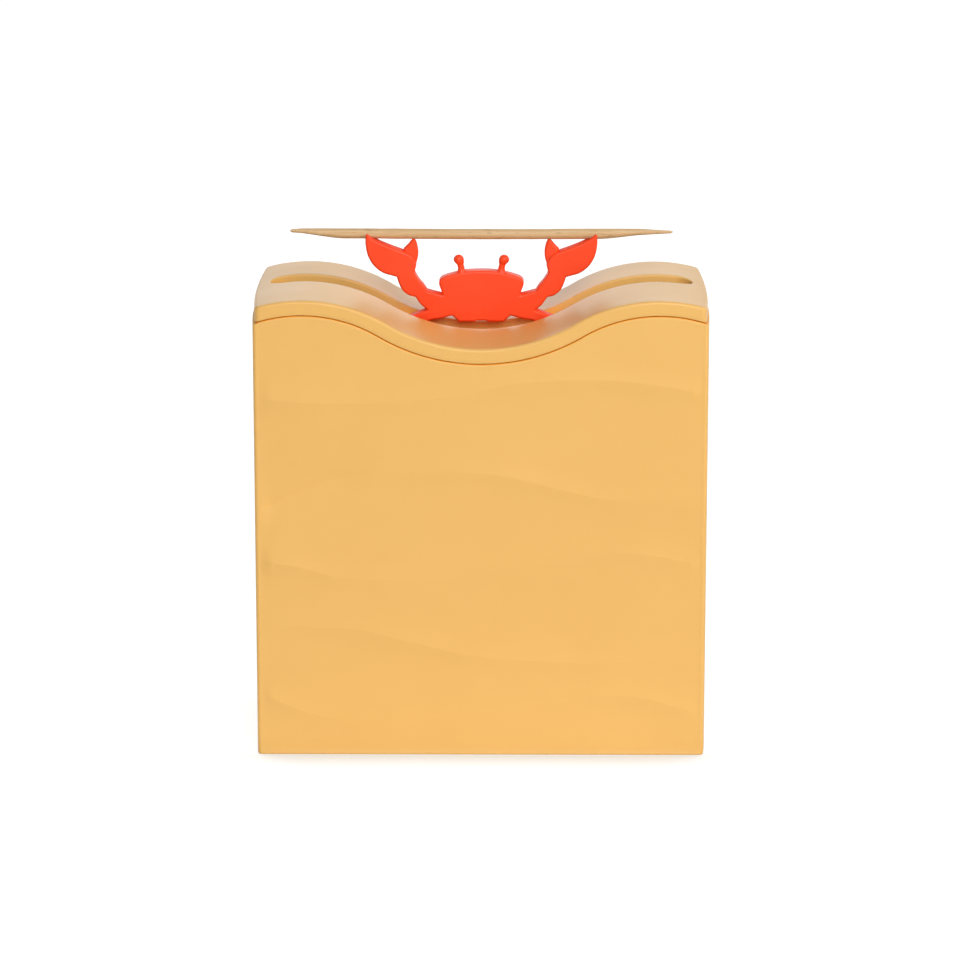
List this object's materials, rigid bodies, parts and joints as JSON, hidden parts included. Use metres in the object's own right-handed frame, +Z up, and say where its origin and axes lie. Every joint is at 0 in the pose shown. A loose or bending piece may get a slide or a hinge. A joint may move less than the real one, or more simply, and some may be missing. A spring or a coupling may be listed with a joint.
{
  "type": "toothpick dispenser",
  "caption": "Toothpick dispenser: a wavy-topped box lifts off a weighted base and drops back, so that a flat crab rises through its slot with a toothpick in its claws.",
  "frame": {"origin": "centre of the case's footprint, on the surface that the dispenser stands on", "axes": "+X to the right along the front, +Y from the front face to the back, +Z up"},
  "size_m": [0.0772, 0.0354, 0.0873],
  "materials": {
    "sand_plastic": "satin moulded sand yellow",
    "lid_plastic": "satin moulded sand yellow",
    "tray_plastic": "natural moulded plastic",
    "base_plastic": "moulded sand yellow",
    "cover_plastic": "fine textured sand yellow",
    "rail_plastic": "natural moulded plastic, polished slides",
    "crab_plastic": "satin moulded orange red",
    "zinc_steel": "zinc plated",
    "screw_steel": "zinc plated",
    "pad_rubber": "matt rubber",
    "pick_wood": "bare pale wood",
    "stock_wood": "bare pale wood"
  },
  "bodies": {
    "base": {"base_plate": "base_plastic", "base_cover": "cover_plastic", "ballast_plate": "zinc_steel", "foot_pad_front_left": "pad_rubber", "foot_pad_back_left": "pad_rubber", "foot_pad_front_right": "pad_rubber", "foot_pad_back_right": "pad_rubber", "guide_rail_left": "rail_plastic", "guide_rail_right": "rail_plastic", "crab_lifter": "crab_plastic", "cover_screws": "screw_steel", "lifter_screws": "screw_steel", "rail_screws": "screw_steel"},
    "case": {"case_shell": "sand_plastic", "hopper_tray": "tray_plastic", "hopper_screws": "screw_steel", "toothpick_stock_front": "stock_wood", "toothpick_stock_back": "stock_wood"},
    "lid": {"lid": "lid_plastic"},
    "served_toothpick": {"toothpick_served": "pick_wood"}
  },
  "joints": [
    {"name": "case_lift", "type": "slide", "parent": "base", "child": "case", "axis": [0, 0, 1], "range_m": [0, 0.043]},
    {"name": "lid_lift", "type": "slide", "parent": "case", "child": "lid", "axis": [0, 0, 1], "range_m": [0, 0.026]},
    {"name": "toothpick_take", "type": "slide", "parent": "base", "child": "served_toothpick", "axis": [0, 0, 1], "range_m": [0, 0.03]}
  ]
}
